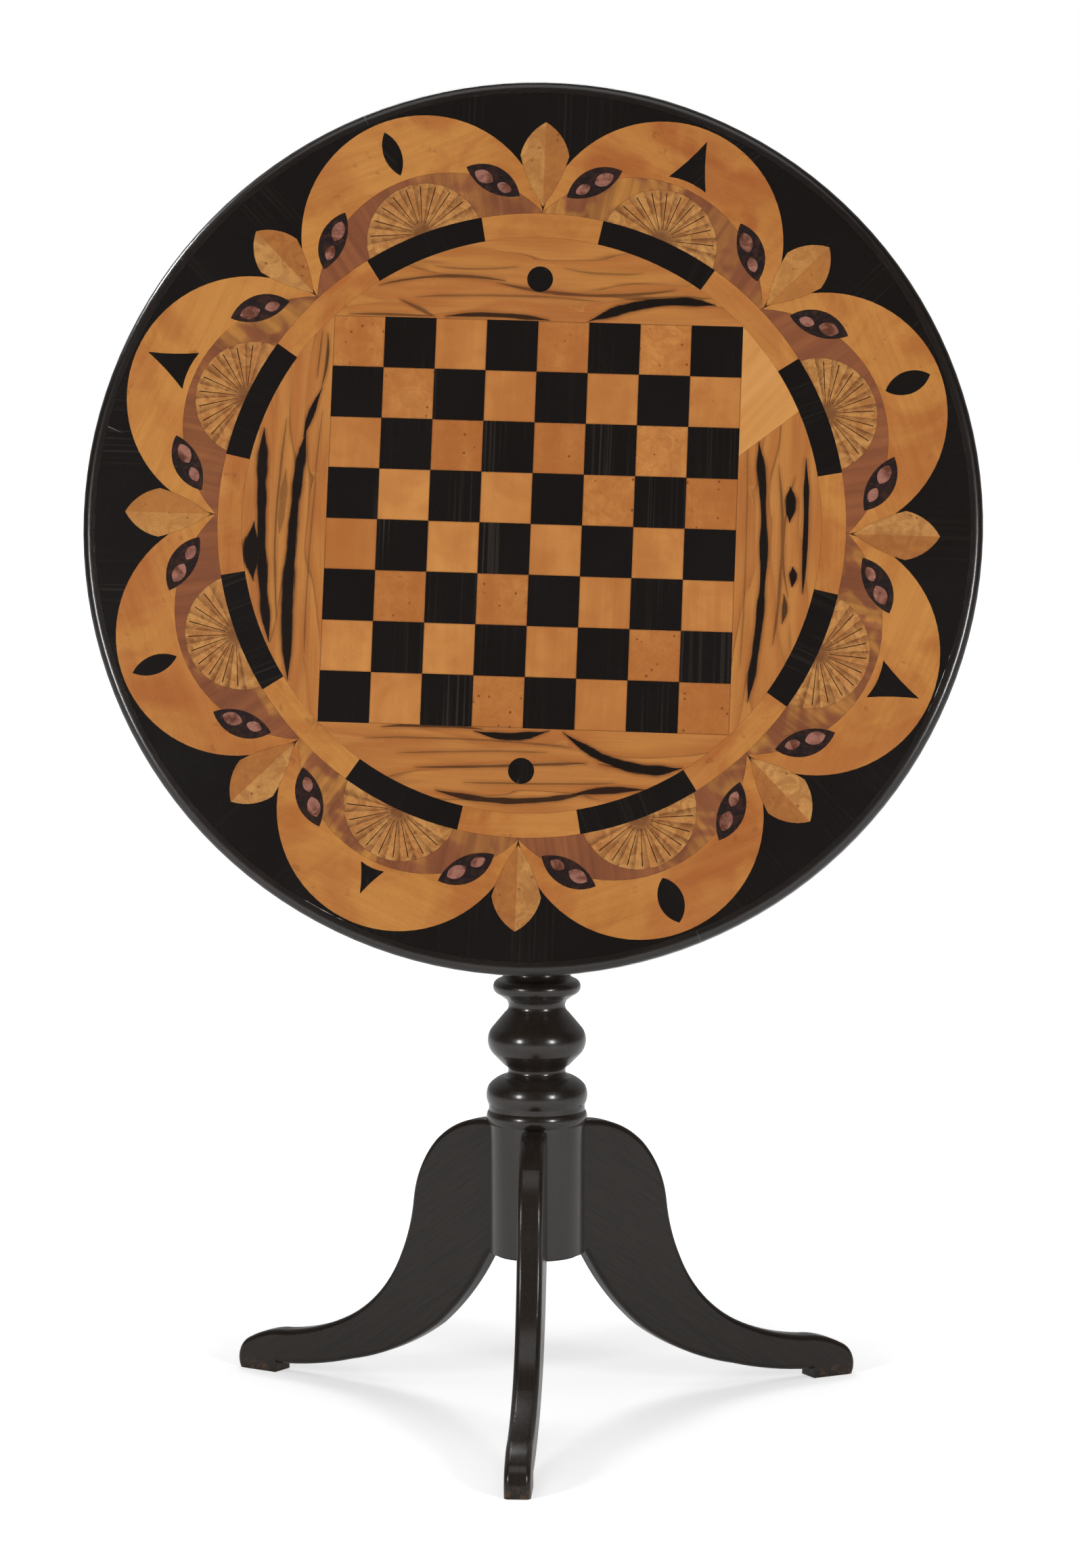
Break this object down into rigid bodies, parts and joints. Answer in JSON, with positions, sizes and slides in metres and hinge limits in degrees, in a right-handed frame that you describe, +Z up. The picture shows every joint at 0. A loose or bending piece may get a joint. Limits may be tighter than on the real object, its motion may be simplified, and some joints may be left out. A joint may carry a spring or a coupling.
{
  "type": "tilt-top games table",
  "caption": "Round tilt-top pedestal games table with an inlaid chessboard top that tips upright on a hinge block, a spring catch and three shaped legs.",
  "frame": {"origin": "on the floor under the column's axis", "axes": "+Z up; the front leg points along -Y and the playing face of the tipped-up top faces -Y; +X to the right of a viewer in front"},
  "size_m": [0.7558, 0.4865, 1.1492],
  "materials": {
    "ebonised_wood": "satin French polish over black stain",
    "wedge_wood": "sawn end grain",
    "core_wood": "planed, stained dark brown",
    "honey_wood": "polished",
    "pale_wood": "polished",
    "burr_wood": "polished burr",
    "brown_burr": "polished burr",
    "rosewood": "polished",
    "striped_wood": "polished, black veins",
    "ebony": "polished",
    "brass": "worn lacquer",
    "screw_brass": "worn",
    "iron": "blackened",
    "screw_steel": "dull",
    "spring_steel": "bright"
  },
  "bodies": {
    "stand": {"column": "ebonised_wood", "front_leg": "ebonised_wood", "right_leg": "ebonised_wood", "left_leg": "ebonised_wood", "leg_plate": "iron", "leg_plate_screws": "screw_steel", "hinge_block": "ebonised_wood", "tenon_wedge": "wedge_wood", "pivot_pins": "iron", "catch_keeper": "brass", "keeper_screws": "screw_brass"},
    "top": {"core_plank_1": "core_wood", "core_plank_2": "core_wood", "core_plank_3": "core_wood", "core_plank_4": "core_wood", "edge_moulding": "ebonised_wood", "squares_light": "honey_wood", "squares_dark": "ebony", "panel_far": "striped_wood", "panel_near": "striped_wood", "panel_left": "striped_wood", "panel_right": "striped_wood", "panel_dots": "ebony", "corner_patch": "pale_wood", "ring_light": "honey_wood", "ring_dark": "ebony", "lobe_crescents": "honey_wood", "crescent_leaves": "ebony", "crescent_darts": "ebony", "lobe_fans": "burr_wood", "lobe_fills": "rosewood", "lobe_scrolls": "ebony", "scroll_eyes": "rosewood", "leaf_points_light": "burr_wood", "leaf_points_dark": "brown_burr", "ebony_ground": "ebony", "bearer_left": "ebonised_wood", "bearer_right": "ebonised_wood", "bearer_screws": "screw_steel", "catch_plate": "brass", "catch_screws": "screw_brass", "catch_spring": "spring_steel"},
    "catch": {"catch_bolt": "brass"}
  },
  "joints": [
    {"name": "top_tilt", "type": "hinge", "parent": "stand", "child": "top", "pos_m": [0, -0.075, 0.697], "axis": [1, 0, 0], "range_deg": [-80, 0]},
    {"name": "catch_slide", "type": "slide", "parent": "top", "child": "catch", "axis": [0, 0.1736, 0.9848], "range_m": [0, 0.008], "stiffness_N_per_m": 250, "springref_m": -0.006, "deforming": ["catch_spring"]}
  ]
}
